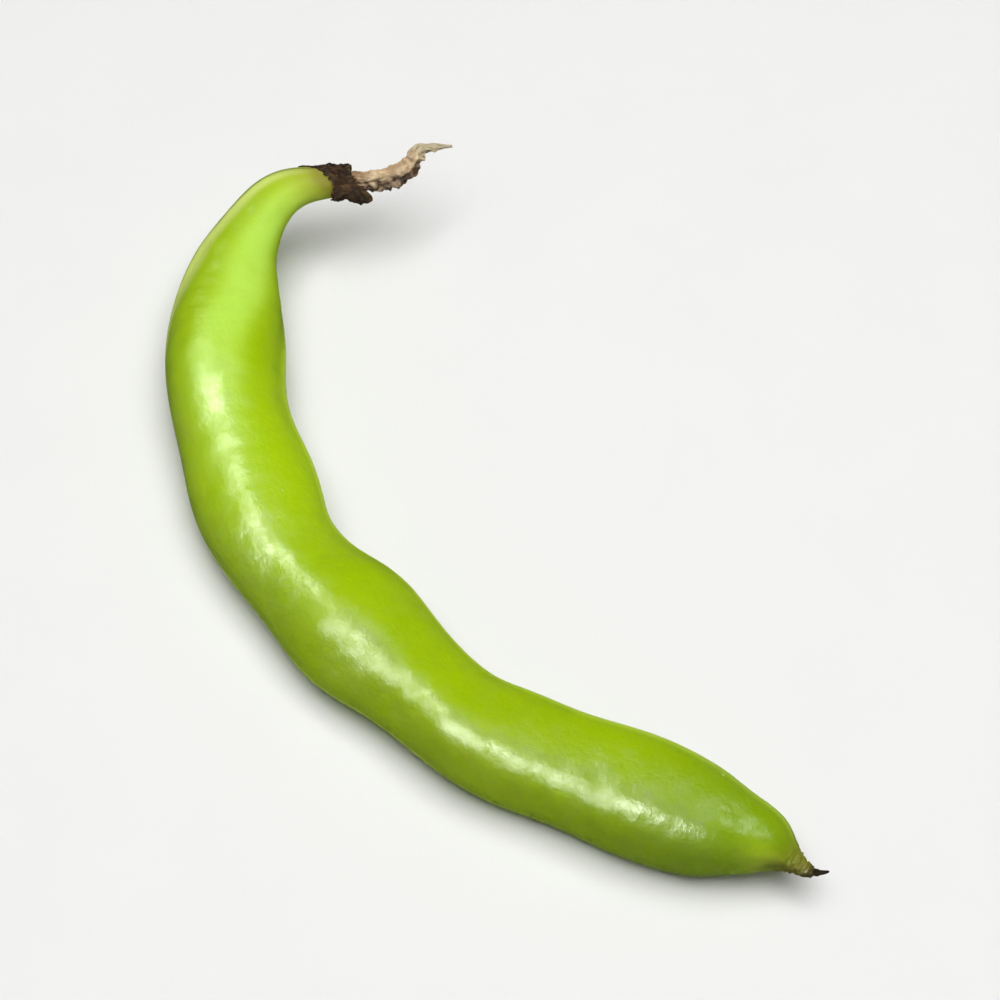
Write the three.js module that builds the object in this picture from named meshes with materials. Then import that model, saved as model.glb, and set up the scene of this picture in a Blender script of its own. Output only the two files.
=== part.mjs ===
// Broad bean pod, as picked, lying on its side
//
// Millimetres, +Z up. The stalk is at -X and the beak at +X, and the pod bows towards -Y.
// The origin is on the surface that the pod lies on, under the middle of its outline.
//
// The pod is described along its own line. A place on that line is the distance from the joint
// with the stalk. A value that changes along it is a list of soft steps, [place, change, spread]:
// round that place the value changes by that much, most of it within the spread to either side.
// A swelling is [place, height, spread], a smooth hump. A lobe round an edge is [direction in
// degrees, length, spread in degrees]. A wave is [crests round the piece, turn in radians for
// each millimetre along it, height].

import * as THREE from "three";

// The hull's line
const HULL_FROM = 2.7;
const HULL_TO = 195;
const STALK_JOINT = new THREE.Vector2(-61, 7.7);
const JOINT_HEADING = -122.6;
const BENDS = [
  [13, 61.5, 5.2], [28, 20.5, 5], [53, 31.5, 18.5], [86, 15.5, 4],
  [97, 7, 4], [134, 21.6, 6], [165, -1.3, 3], [175, 6.4, 3.5], [186.2, -19.9, 2], [194.5, 48, 1.5],
];
const JOINT_HEIGHT = 17.3;
const FALLS = [[25, -7.55, 12], [80, -0.35, 12], [125, -0.5, 20], [189, -1.75, 8]];

// The hull's section: wide from seam to seam, thick from valve to valve, rolled about its line
const JOINT_HALF_WIDTH = 2.4;
const WIDENINGS = [
  [3.5, 0.4, 1.5], [11, 2.1, 5.5], [26.5, 4.2, 7.3], [179.5, -2.8, 4.3], [189, -5.5, 3.9],
];
const WIDTH_SWELLINGS = [
  [48.5, 1.7, 14], [75.2, 2.3, 12.3], [106.9, 2.5, 11], [141.5, 0.75, 8], [164.3, 1.8, 14],
];
const THICKNESS_SHARE = 0.95;
const BEAN_SPREAD = 9.5;
const BEANS = [[49, 1.9], [77.5, 0.6], [106, 1.5], [135, 0.8], [163.5, 1.2]];
const JOINT_ROLL = 65;
const ROLLS = [[17, -33, 10], [41, -52, 12], [138, -24, 16]];
const FLANK_FLATNESS = -0.035;
const FLANKS = [[80, 0.12, 22], [183, -0.05, 4]];
const SEAM_RIDGE = 0.45;
const SEAM_SHARE = 0.12;
const SEAM_HALF_WIDTH = 1.2;
const BEAK_ROUND = 0.9;

// The calyx, a withered cup round the neck with sepals forwards and a torn skirt over the stalk
const CALYX_FLOOR = { back: 1.5, front: 2.4 };
const SKIRT_LIP = 0.9;
const SEPAL_LIP = 3.3;
const SEPALS = [[322, 3, 14], [345, 4.2, 26], [20, 2, 36], [105, 0.9, 26], [178, 1.2, 24], [252, 1.4, 28]];
const SKIRT_LOBES = [[55, 0.9, 22], [112, 3.6, 25], [155, 1.6, 24], [205, 1.8, 26]];
const SKIRT_RADIUS = 2.75;
const SKIRT_FLARE = 0.36;
const CALYX_THICKNESS = 0.5;
const CALYX_CRUMPLES = [[3, 1.7, 0.13], [7, -2.3, 0.08]];

// The stalk, shrivelled and ridged, bent up and drawn out to a wisp. Its ridges and its keel's
// tears are shares of the radius and of the keel.
const STALK_LENGTH = 20.5;
const STALK_BENDS = [[4, 15.5, 1.6], [10.9, 50, 1.3], [14.7, -62, 1.1]];
const STALK_CLIMBS = [[11.3, 2.9, 3.2]];
const STALK_RADIUS = 1.65;
const STALK_WIDENINGS = [[6.3, 0.1, 2], [11.2, -0.35, 1.3], [15.2, -0.7, 0.9], [18.6, -0.5, 1.4]];
const STALK_RIDGES = [[5, 0.25, 0.13], [8, -0.45, 0.065], [2, 1.9, 0.05]];
const KEEL = { from: 4, to: 11.6, lobe: [318, 0.45, 34] };
const KEEL_TEARS = [0, 4.1, 0.3];

// The style, the dry point on the beak
const STYLE_FROM = 195.3;
const STYLE_TO = 197.4;
const STYLE_RADIUS = 0.72;
const STYLE_TIP = 0.12;
const STYLE_TAPER = 0.8;
const STYLE_CREASES = [[3, 2.2, 0.12]];

const GAP = 0.3;

// How finely the surfaces are drawn
const LINE_STEP = 0.25;
const HULL_RINGS = 104;
const HULL_SIDES = 32;
const BEAK_TURNS = [30, 60, 80];
const END_CROWDING = 0.5;
const SEAM_CROWDING = 0.6;
const CALYX_RINGS = 10;
const CALYX_SIDES = 40;
const STALK_RINGS = 44;
const STALK_SIDES = 24;
const STYLE_RINGS = 7;
const STYLE_SIDES = 12;

const radians = THREE.MathUtils.degToRad;

function softSteps(start, steps, place) {
  return steps.reduce(
    (value, [at, change, spread]) => value + change * (1 + Math.tanh((place - at) / spread)) / 2,
    start,
  );
}

function swellings(humps, place) {
  return humps.reduce(
    (value, [at, height, spread]) => value + height * Math.exp(-(((place - at) / spread) ** 2)),
    0,
  );
}

function lobes(list, angle) {
  return list.reduce((value, [at, length, spread]) => {
    const off = Math.atan2(Math.sin(angle - radians(at)), Math.cos(angle - radians(at)));
    return value + length * Math.exp(-((off / radians(spread)) ** 2));
  }, 0);
}

function waves(list, place, angle) {
  return list.reduce(
    (value, [crests, turn, height]) => value + height * Math.sin(crests * angle + turn * place),
    0,
  );
}

// A line followed from its start in short steps, with its heading and its height at each place.
// Before its start it goes on straight.
function followLine(start, length, headingAt, heightAt) {
  const points = [new THREE.Vector3(start.x, start.y, heightAt(0))];
  for (let place = LINE_STEP; place < length + LINE_STEP; place += LINE_STEP) {
    const heading = radians(headingAt(place - LINE_STEP / 2));
    const last = points.at(-1);
    const x = last.x + LINE_STEP * Math.cos(heading);
    const y = last.y + LINE_STEP * Math.sin(heading);
    points.push(new THREE.Vector3(x, y, heightAt(place)));
  }
  return (place) => {
    const index = THREE.MathUtils.clamp(Math.floor(place / LINE_STEP), 0, points.length - 2);
    return points[index].clone().lerp(points[index + 1], place / LINE_STEP - index);
  };
}

// Where a line is, the level direction to the right of the way it goes, and the upward one
function frameOn(line, place) {
  const forward = line(place + LINE_STEP).sub(line(place - LINE_STEP)).normalize();
  const right = new THREE.Vector3(forward.y, -forward.x, 0).normalize();
  const up = new THREE.Vector3().crossVectors(right, forward);
  return { centre: line(place), right, up };
}

// A point that stands off from a line, angle 0 to its right and angle 90 above it
function pointRound(line, place, angle, distance) {
  const { centre, right, up } = frameOn(line, place);
  centre.addScaledVector(right, distance * Math.cos(angle));
  return centre.addScaledVector(up, distance * Math.sin(angle));
}

const hullLine = followLine(
  STALK_JOINT,
  STYLE_TO,
  (place) => softSteps(JOINT_HEADING, BENDS, place),
  (place) => softSteps(JOINT_HEIGHT, FALLS, place),
);

// A point on the hull, or stood off from it. Angle 0 is the outer seam, on the bow's outside,
// and angle 180 the inner one. What would sink below the surface that it lies on is flattened.
function hullPoint(place, angle, standOff = 0) {
  const { centre, right, up } = frameOn(hullLine, place);
  const roll = radians(softSteps(JOINT_ROLL, ROLLS, place));
  const seamWay = right.clone().multiplyScalar(Math.cos(roll)).addScaledVector(up, Math.sin(roll));
  const valveWay = up.clone().multiplyScalar(Math.cos(roll)).addScaledVector(right, -Math.sin(roll));
  const grown = softSteps(JOINT_HALF_WIDTH, WIDENINGS, place);
  const halfWidth = grown + swellings(WIDTH_SWELLINGS, place);
  const beans = BEANS.map(([at, height]) => [at, height, BEAN_SPREAD]);
  const halfThickness = THICKNESS_SHARE * grown + swellings(beans, place);
  const past = THREE.MathUtils.clamp((place - HULL_TO + BEAK_ROUND) / BEAK_ROUND, 0, 1);
  const rounding = Math.sqrt(1 - past * past);
  const ridge = Math.min(SEAM_RIDGE, SEAM_SHARE * halfWidth);
  const across = halfThickness * Math.sin(angle);
  const onSeam = Math.sign(Math.cos(angle)) * ridge * Math.exp(-((across / SEAM_HALF_WIDTH) ** 2));
  const flank = 1 - softSteps(FLANK_FLATNESS, FLANKS, place) * Math.sin(2 * angle) ** 2;
  const wide = (halfWidth - ridge + standOff) * flank * Math.cos(angle) + onSeam;
  const thick = (halfThickness + standOff) * flank * Math.sin(angle);
  const point = centre.addScaledVector(seamWay, wide * rounding);
  point.addScaledVector(valveWay, thick * rounding);
  point.z = Math.max(point.z, 0);
  return point;
}

// Skins rings of points into a closed solid, between a single point at either end
function skin(first, rings, last) {
  const sides = rings[0].length;
  const points = [first, ...rings.flat(), last];
  const faces = [];
  const at = (ring, side) => 1 + ring * sides + (side % sides);
  for (let side = 0; side < sides; side += 1) {
    faces.push(0, at(0, side), at(0, side + 1));
    for (let ring = 1; ring < rings.length; ring += 1) {
      const [a, b] = [at(ring - 1, side), at(ring - 1, side + 1)];
      const [c, d] = [at(ring, side), at(ring, side + 1)];
      faces.push(a, c, b, b, c, d);
    }
    faces.push(at(rings.length - 1, side + 1), at(rings.length - 1, side), points.length - 1);
  }
  const geometry = new THREE.BufferGeometry().setFromPoints(points);
  geometry.setIndex(faces);
  geometry.computeVertexNormals();
  return geometry;
}

function ringOf(sides, pointAt) {
  return Array.from({ length: sides }, (_, side) => pointAt((2 * Math.PI * side) / sides));
}

// Evenly spread shares from 0 to 1
function shares(count) {
  return Array.from({ length: count }, (_, index) => index / (count - 1));
}

// Rings crowd together at the neck and the beak, and the points of a ring at the two seams
function makeHull() {
  const body = HULL_TO - BEAK_ROUND - HULL_FROM;
  const places = shares(HULL_RINGS).map((share) => {
    const crowded = share - (END_CROWDING * Math.sin(2 * Math.PI * share)) / (2 * Math.PI);
    return HULL_FROM + body * crowded;
  });
  for (const turn of BEAK_TURNS) {
    places.push(HULL_TO - BEAK_ROUND + BEAK_ROUND * Math.sin(radians(turn)));
  }
  const rings = places.map((place) =>
    ringOf(HULL_SIDES, (turn) => hullPoint(place, turn - (SEAM_CROWDING * Math.sin(2 * turn)) / 2)),
  );
  return skin(hullLine(HULL_FROM), rings, hullLine(HULL_TO));
}

// The calyx's wall follows the neck in front of its floor, and flares round the stalk behind it
function calyxPoint(place, angle, outside) {
  const thickness = outside ? CALYX_THICKNESS + waves(CALYX_CRUMPLES, place, angle) : 0;
  if (place >= CALYX_FLOOR.front) return hullPoint(place, angle, GAP + thickness);
  const radius = SKIRT_RADIUS + SKIRT_FLARE * Math.max(CALYX_FLOOR.back - place, 0);
  return pointRound(hullLine, place, angle + radians(JOINT_ROLL), radius + thickness);
}

// The rings run from the floor's back along the skirt's inside, round its lip, forward along the
// outside, round the sepals' lip and back along their inside to the floor's front
function makeCalyx() {
  const skirtLip = (angle) => SKIRT_LIP - lobes(SKIRT_LOBES, angle);
  const sepalLip = (angle) => SEPAL_LIP + lobes(SEPALS, angle);
  const ring = (fromAt, toAt, share, outside) =>
    ringOf(CALYX_SIDES, (angle) => {
      const place = THREE.MathUtils.lerp(fromAt(angle), toAt(angle), share);
      return calyxPoint(place, angle, outside);
    });
  const back = () => CALYX_FLOOR.back;
  const front = () => CALYX_FLOOR.front;
  const rings = [
    ...shares(3).map((share) => ring(back, skirtLip, share, false)),
    ...shares(CALYX_RINGS).map((share) => ring(skirtLip, sepalLip, share, true)),
    ...shares(3).map((share) => ring(sepalLip, front, share, false)),
  ];
  return skin(hullLine(CALYX_FLOOR.back), rings, hullLine(CALYX_FLOOR.front));
}

// How far the stalk's skin stands from its line, with a torn keel hanging from its lower side
function stalkRadius(place, angle) {
  const round = softSteps(STALK_RADIUS, STALK_WIDENINGS, place);
  const along = THREE.MathUtils.clamp((place - KEEL.from) / (KEEL.to - KEEL.from), 0, 1);
  const torn = 1 - KEEL_TEARS[2] + waves([KEEL_TEARS], place, angle);
  const keel = lobes([KEEL.lobe], angle) * Math.sin(Math.PI * along) * torn;
  return round * (1 + waves(STALK_RIDGES, place, angle)) + keel;
}

function makeStalk() {
  const start = hullLine(CALYX_FLOOR.back - GAP);
  const line = followLine(
    start,
    STALK_LENGTH,
    (place) => softSteps(JOINT_HEADING + 180, STALK_BENDS, place),
    (place) => softSteps(start.z, STALK_CLIMBS, place),
  );
  const rings = shares(STALK_RINGS).map((share) => {
    const place = STALK_LENGTH * share;
    return ringOf(STALK_SIDES, (angle) => pointRound(line, place, angle, stalkRadius(place, angle)));
  });
  return skin(line(0), rings, line(STALK_LENGTH));
}

function makeStyle() {
  const length = STYLE_TO - STYLE_FROM;
  const rings = shares(STYLE_RINGS).map((share) => {
    const radius = STYLE_TIP + (STYLE_RADIUS - STYLE_TIP) * (1 - share) ** STYLE_TAPER;
    return ringOf(STYLE_SIDES, (angle) => {
      const creased = radius * (1 + waves(STYLE_CREASES, share * length, angle));
      return pointRound(hullLine, STYLE_FROM + share * length, angle, creased);
    });
  });
  return skin(hullLine(STYLE_FROM), rings, hullLine(STYLE_TO));
}

function piece(name, geometry, colour, roughness) {
  const material = new THREE.MeshStandardMaterial({ color: colour, roughness, metalness: 0 });
  const mesh = new THREE.Mesh(geometry, material);
  mesh.name = name;
  return mesh;
}

const lying = new THREE.Group();
lying.add(
  piece("pod", makeHull(), 0x9bc305, 0.42),
  piece("calyx", makeCalyx(), 0x33241a, 0.9),
  piece("stalk", makeStalk(), 0xb39c76, 0.85),
  piece("style", makeStyle(), 0x241c12, 0.75),
);
const middle = new THREE.Box3().setFromObject(lying).getCenter(new THREE.Vector3());
lying.position.set(-middle.x, -middle.y, 0);

const group = new THREE.Group();
group.add(lying);
export default group;
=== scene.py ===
"""A broad bean pod, as picked, lying on its side: a bowed green hull swollen over its beans, with a
dry calyx and stalk at one end and a beak with a dry point at the other.

Every piece is a surface worked out from formulas. They run along the pod's own line, where a place
is the distance in millimetres from the joint with the stalk. A value that changes along the line is
a list of soft steps, (place, change, spread): round that place the value changes by that much. A
swelling is (place, height, spread), and a lobe round an edge is (direction in degrees, length,
spread in degrees). A wave is (crests round the piece, turn in radians for each millimetre along
it, height), and unevenness is (seed, shortest wavelength along the line, most crests round the
piece, number of waves). Shapes are in millimetres until they are put into a mesh.
"""

import bpy
import numpy as np
from bpy.props import FloatProperty, FloatVectorProperty, PointerProperty
from mathutils import Euler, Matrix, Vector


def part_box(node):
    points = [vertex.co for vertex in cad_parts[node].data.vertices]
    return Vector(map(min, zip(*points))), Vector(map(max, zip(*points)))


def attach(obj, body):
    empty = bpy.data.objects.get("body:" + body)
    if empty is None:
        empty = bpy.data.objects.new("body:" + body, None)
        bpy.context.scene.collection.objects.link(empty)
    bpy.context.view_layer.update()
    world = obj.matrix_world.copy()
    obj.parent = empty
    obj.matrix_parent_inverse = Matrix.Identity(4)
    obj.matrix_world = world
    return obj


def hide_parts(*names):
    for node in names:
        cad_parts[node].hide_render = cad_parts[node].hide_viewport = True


bl_info = {
    "name": "Broad bean pod",
    "version": (1, 0, 0),
    "blender": (4, 5, 0),
    "location": "3D View > Sidebar > Bean pod",
    "description": "Makes a broad bean pod with its calyx, stalk and style",
    "category": "Add Mesh",
}

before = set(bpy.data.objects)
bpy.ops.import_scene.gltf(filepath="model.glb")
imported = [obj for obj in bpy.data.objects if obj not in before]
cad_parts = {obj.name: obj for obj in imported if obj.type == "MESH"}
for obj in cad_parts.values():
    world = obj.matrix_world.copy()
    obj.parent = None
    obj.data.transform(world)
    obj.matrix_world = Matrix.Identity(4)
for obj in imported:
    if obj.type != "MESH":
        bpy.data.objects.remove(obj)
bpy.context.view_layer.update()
MM = 0.001

# The hull's line
HULL_FROM = 2.7
HULL_TO = 195.0
STALK_JOINT = (-61.0, 7.7)
JOINT_HEADING = -122.6
BENDS = [
    (13, 61.5, 5.2), (28, 20.5, 5), (53, 31.5, 18.5), (86, 15.5, 4),
    (97, 7, 4), (134, 21.6, 6), (165, -1.3, 3), (175, 6.4, 3.5), (186.2, -19.9, 2), (194.5, 48, 1.5),
]
JOINT_HEIGHT = 17.3
FALLS = [(25, -7.55, 12), (80, -0.35, 12), (125, -0.5, 20), (189, -1.75, 8)]

# The hull's section, wide from seam to seam and thick from valve to valve, rolled about its line.
# The beak's end is a round cap, with rings at these degrees of it
JOINT_HALF_WIDTH = 2.4
WIDENINGS = [(3.5, 0.4, 1.5), (11, 2.1, 5.5), (26.5, 4.2, 7.3), (179.5, -2.8, 4.3), (189, -5.5, 3.9)]
WIDTH_SWELLINGS = [
    (48.5, 1.7, 14), (75.2, 2.3, 12.3), (106.9, 2.5, 11), (141.5, 0.75, 8), (164.3, 1.8, 14),
]
THICKNESS_SHARE = 0.95
BEAN_SPREAD = 9.5
BEANS = [(49, 1.9), (77.5, 0.6), (106, 1.5), (135, 0.8), (163.5, 1.2)]
JOINT_ROLL = 65.0
ROLLS = [(17, -33, 10), (41, -52, 12), (138, -24, 16)]
FLANK_FLATNESS = -0.035
FLANKS = [(80, 0.12, 22), (183, -0.05, 4)]
SEAM_SHARE = 0.12
SEAM_HALF_WIDTH = 1.2
SEAM_RIDGE = 0.45
GROOVE_SHARE = 0.03
GROOVE_HALF_WIDTH = 0.22
BEAK_ROUND = 0.9
BEAK_ROUND_RINGS = [15, 30, 45, 60, 72, 82]

# The hull's mesh: how many rings and points in each, and how far they crowd to its ends and seams
HULL_RINGS = 620
HULL_SIDES = 156
END_CROWDING = 0.35
SEAM_CROWDING = 0.72

# The hull's fine relief. It fades out close to the seams and where the hull is thin, and its
# wrinkles lie in patches, mostly between the fronts of the beans. The beak is rough on its own
BROAD_DENTS = (3, 9, 5, 14)
SMALL_DENTS = (8, 3.6, 9, 14)
SMALL_DENTS_SHARE = 0.5
WRINKLES = (21, 1.0, 2, 24)
WRINKLED_PATCHES = (5, 11, 3, 14)
PATCH_CONTRAST = 0.6
WRINKLES_EVERYWHERE = 0.35
BEAK_ROUGHNESS = (65, 0.6, 8, 20)
ROUGH_BEAK = [(190.5, 1, 0.9)]
SEAM_CLEAR = 1.5
THIN_HALF_WIDTH = 3.0
FULL_HALF_WIDTH = 8.0
BEAN_FRONT = 5.0
BEAN_FRONT_SPREAD = 8.0

# Where the hull's colours lie along its line, as a start value and its soft steps, and how far
# from a seam those of the seams reach. The colours in the last list lie all round the hull
OUTER_SEAM = (0.9, [(58, -0.45, 10)])
OUTER_SEAM_SHARE = (0.45, [(42, -0.33, 5)])
INNER_SEAM = (0.6, [(60, -0.3, 12)])
INNER_SEAM_SHARE = 0.3
INNER_SEAM_WIDTH = 0.8
# The dark line in the outer seam's groove and the one beside the seams' ridge are painted shade
GROOVE_SHADE = (0.9, [(45, -0.65, 8)])
GROOVE_SHADE_WIDTH = 0.5
SIDE_SHADE = (0, [(60, 0.25, 8)])
SIDE_SHADE_AT = 1.35
SIDE_SHADE_WIDTH = 0.32
YOUNG_VALVE = (0, [(7, 1, 3), (62, -1, 13)])
# The pale middle is partly paler skin and partly a painted broad sheen down the valve's middle
PALE_MIDDLE = (-0.02, [(33, -0.06, 5)])
PALE_HALF_WIDTH = (0.56, [(33, -0.12, 5)])
INNER_STRIP = (0.25, [(38, 0.75, 4)])
JOINT = (1, [(6, -0.5, 1.2), (9.5, -0.5, 2.4)])
JOINT_SLANT = 2.0
BEFORE_BEAK = (187, 1, 3.5)
# The beak's outer, lower side is darker brown: partly browned skin, partly painted shade
BEAK_LOW = (0, [(188, 1, 2)])
BROWNED_AND_SHADED_LEVEL = 0.1
BROWNED_AND_SHADED_SLOPE = 1.6
UPPER_SIDE = (0, [(-0.3, 1, 0.2)])
ALL_ROUND = {
    "neck": (1, [(12, -1, 6)]),
    # Lighter towards the neck: partly younger skin, partly painted light where more light falls
    "young": (1, [(95, -1, 22)]),
    # Darker towards the beak: partly riper skin, partly painted shade
    "ripe": (0, [(166, 1, 9)]),
    "beak": (0, [(189.2, 1, 1.9)]),
    "beak_tip": (0, [(193.9, 1, 0.5)]),
}

# How the wax shines along the line, where it shines more or less, and how that depends on the
# upward share of the skin's normal
SHINE = (0.14, [(53, 0.36, 3.5), (189, -0.3, 2)])
SHINE_MEAN = 0.7
SHINE_SWELLINGS = [
    (53, -0.2, 3.5), (60, 0.4, 5), (90, 1, 7), (104, -0.6, 4),
    (112, 0.6, 6), (135, 0.3, 5), (169, 0.6, 6), (178, 0.8, 5),
]
SHINE_UPWARDS = (0.3, [(0.38, 0.7, 0.14)])

# The calyx, a cup with sepals forwards round the neck and a torn skirt backwards round the stalk
CALYX_BACK = 1.5
CALYX_FRONT = 2.4
SKIRT_LIP = 0.9
SEPAL_LIP = 3.3
SEPALS = [(322, 3, 14), (345, 4.2, 26), (20, 2, 36), (105, 0.9, 26), (178, 1.2, 24), (252, 1.4, 28)]
SKIRT_LOBES = [(55, 0.9, 22), (84, 1.6, 18), (112, 3.6, 25), (155, 1.6, 24), (205, 1.8, 26)]
SKIRT_RADIUS = 2.75
SKIRT_FLARE = 0.36
LIP_LENGTH = 0.7
LIP_DRAWN_IN = 0.5
LEAF_LEAST = 0.1
CALYX_RINGS = [12, 90, 22]
CALYX_SIDES = 260
CALYX_WAVES = [(3, 1.7, 0.36), (7, -2.3, 0.24), (12, 3.1, 0.18)]
CALYX_FOLDS = (31, 0.9, 16, 22)
FOLDS_SHARE = 0.55
TEETH = (41, 1.0, 34, 20)
TEETH_LENGTH = 0.22
SKIRT_TEARS = (43, 1.0, 26, 16)
SEPAL_TEARS = (47, 1.0, 24, 16)
TEARS_SHARE = 0.12
SEPAL_TIPS = (0, [(5.2, 1, 0.8)])
TIP_NEARER = 0.85
TIP_THINNER = 0.6
RIM_WIDTH = 0.3
SKIRT_LEAST = 0.25
CALYX_DRY_SIDE = (95, 1, 60)

# The stalk, shrivelled, with a torn keel along its lower side and folds at its bend
STALK_LENGTH = 20.5
STALK_BENDS = [(4, 15.5, 1.6), (10.9, 50, 1.3), (14.7, -62, 1.1)]
STALK_CLIMBS = [(11.3, 2.9, 3.2)]
STALK_RADIUS = 1.65
STALK_WIDENINGS = [(6.3, 0.1, 2), (11.2, -0.35, 1.3), (15.2, -0.7, 0.9), (18.6, -0.5, 1.4)]
STALK_RIDGES = [(5, 0.25, 0.13), (8, -0.45, 0.065), (2, 1.9, 0.05)]
KEEL_FROM = 4.0
KEEL_TO = 11.6
KEEL_LOBE = (318, 0.45, 34)
KEEL_TEARS = (0, 4.1, 0.3)
KEEL_RAGS = (57, 0.5, 8, 20)
KEEL_RAGS_SHARE = 0.35
STALK_RINGS = 320
STALK_SIDES = 144
STALK_LEAST = 0.12
STALK_FIBRES = (51, 2.4, 20, 26)
FIBRES_SHARE = 0.6
STALK_KNOTS = (53, 1.1, 7, 22)
KNOTS_SHARE = 0.95
KNOTS_EVERYWHERE = 0.45
KNOTTY_SIDE = (332, 1.8, 55)
BEND_FOLDS = (12.2, 0.9, 1.7)
FOLD_LENGTH = 1.3
FOLD_SLANT = 2.2
# The crease colour lies where the relief is deep and next to the calyx: dry brown, and painted shade in the
# hollows
CREASE_LEVEL = 0.46
CREASE_DEPTH = 0.3
NEAR_CALYX = (0.45, [(2.8, -0.45, 1.2)])
# The stalk's dark lower side: partly torn fibres, partly painted shade
TORN_SHADED_SIDE = (343, 2.1, 58)
TORN_SHADED_UNTIL = (1, [(12.5, -1, 1)])
TORN_SHADED_BLOTCHES = (59, 1.4, 5, 18)
TORN_SHADED_LEVEL = 0.85
TORN_SHADED_CONTRAST = 0.5
TORN_SHADED_LEAST = 0.12
WISP = (0, [(13.5, 1, 1.2)])

# The style. Its waves and creases are counted along the share of its length
STYLE_ROOT = 194.2
STYLE_TO = 197.4
STYLE_RADIUS = 0.72
STYLE_TIP = 0.12
STYLE_TAPER = 0.8
STYLE_RINGS = 60
STYLE_SIDES = 72
STYLE_WAVES = [(3, 5, 0.12)]
STYLE_CREASES = (61, 0.8 / 3, 9, 18)
STYLE_CREASES_SHARE = 0.1

# The gap between two pieces, and how finely a line is followed
GAP = 0.3
LINE_STEP = 0.1
LOOK_AHEAD = 0.25

# The camera stands where the photograph was taken from: its turn and height about the pod in
# degrees, and its distance in millimetres
VIEW_AROUND = 57.9
VIEW_UP = 60.0
VIEW_DISTANCE = 583.3

# The floor and the lights in metres: each light's name, its place, and its width and height
FLOOR_HALF = 3.0
FLOOR_DROP = 0.0002
OVERHEAD = ("overhead_light", (0.05, 0.02, 1.1), (0.9, 0.9))
PANELS = {
    "left": ("left_panel", (-0.82, -0.5, 1.1), (0.85, 0.75)),
    "left_core": ("left_core", (-0.6, -0.43, 1.1), (0.46, 0.42)),
    "near": ("near_panel", (0.25, -1.3, 1.1), (1.5, 1.6)),
    "near_core": ("near_core", (0.56, -0.88, 1.1), (0.42, 0.45)),
    "far": ("far_panel", (0.5, 0.62, 1.0), (0.6, 0.25)),
}


def from_screen(red, green, blue):
    """A colour as seen on a screen, 0 to 255, as the linear colour that a shader reads."""
    share = np.array([red, green, blue]) / 255
    return tuple(np.where(share <= 0.04045, share / 12.92, ((share + 0.055) / 1.055) ** 2.4))


# Shape


def soft_steps(start, steps, place):
    """The start value plus, for each step, its change times a smooth rise from 0 to 1 round its place."""
    value = np.full_like(place, start, dtype=float)
    for at, change, spread in steps:
        value = value + change * (1 + np.tanh((place - at) / spread)) / 2
    return value


def band(distance, half_width, sharpness=2):
    """1 in the middle and 0 far out, falling at the half width: more sharply at a higher power."""
    return np.exp(-(np.abs(distance / half_width) ** sharpness))


def swellings(humps, place):
    """The sum of bell-shaped humps, each with its height at its place."""
    value = np.zeros_like(place, dtype=float)
    for at, height, spread in humps:
        value = value + height * band(place - at, spread)
    return value


def lobes(humps, angle):
    """The sum of bell-shaped humps round a ring, each at its direction in degrees."""
    value = np.zeros_like(angle, dtype=float)
    for at, length, spread in humps:
        off = np.angle(np.exp(1j * (angle - np.radians(at))))
        value = value + length * band(off, np.radians(spread))
    return value


def waves(ripples, place, angle):
    """The sum of sine waves: crests round the ring and a turn for each millimetre along the line."""
    value = np.zeros(np.broadcast(place, angle).shape)
    for crests, turn, height in ripples:
        value = value + height * np.sin(crests * angle + turn * place)
    return value


def unevenness(pattern, place, angle):
    """Smooth random relief between about -1 and 1: the sum of seeded sine waves, each with whole
    crests round the ring and a wavelength along the line from one to three times the shortest. The
    sum is divided by its usual size and by how far its peaks go past that."""
    seed, shortest, crests, count = pattern
    peak = 1.6
    rng = np.random.default_rng(seed)
    value = np.zeros(np.broadcast(place, angle).shape)
    for _ in range(count):
        turn = 2 * np.pi / (shortest * rng.uniform(1, 3)) * rng.choice([-1, 1])
        around = rng.integers(0, crests + 1)
        value = value + np.sin(around * angle + turn * place + rng.uniform(0, 2 * np.pi))
    return value / np.sqrt(count / 2) / peak


class Line:
    """A line followed from its start in short steps by its heading and height at each place. Before
    its start it goes on straight."""

    def __init__(self, start, length, heading, height):
        self.places = np.arange(0, length + 2 * LINE_STEP, LINE_STEP)
        turned = np.radians(heading(self.places[1:] - LINE_STEP / 2))
        x = start[0] + np.concatenate([[0], np.cumsum(LINE_STEP * np.cos(turned))])
        y = start[1] + np.concatenate([[0], np.cumsum(LINE_STEP * np.sin(turned))])
        self.points = np.stack([x, y, height(self.places)], axis=-1)

    def at(self, place):
        """The points at the places, on straight stretches between the followed ones."""
        index = np.clip((place / LINE_STEP).astype(int), 0, len(self.places) - 2)
        share = (place / LINE_STEP - index)[..., None]
        return self.points[index] * (1 - share) + self.points[index + 1] * share

    def frame(self, place):
        """The points, the level direction to the right of the way the line goes, and the upward one."""
        ahead = self.at(place + LOOK_AHEAD) - self.at(place - LOOK_AHEAD)
        ahead = ahead / np.linalg.norm(ahead, axis=-1, keepdims=True)
        right = np.stack([ahead[..., 1], -ahead[..., 0], np.zeros_like(place)], axis=-1)
        right = right / np.linalg.norm(right, axis=-1, keepdims=True)
        return self.at(place), right, np.cross(right, ahead)

    def around(self, place, angle, distance):
        """Points that stand off from the line, angle 0 to its right and angle 90 above it."""
        centre, right, up = self.frame(np.broadcast_to(place, np.shape(distance)))
        across = (distance * np.cos(angle))[..., None]
        return centre + right * across + up * (distance * np.sin(angle))[..., None]


HULL_LINE = Line(
    STALK_JOINT,
    STYLE_TO,
    lambda place: soft_steps(JOINT_HEADING, BENDS, place),
    lambda place: soft_steps(JOINT_HEIGHT, FALLS, place),
)


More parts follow.
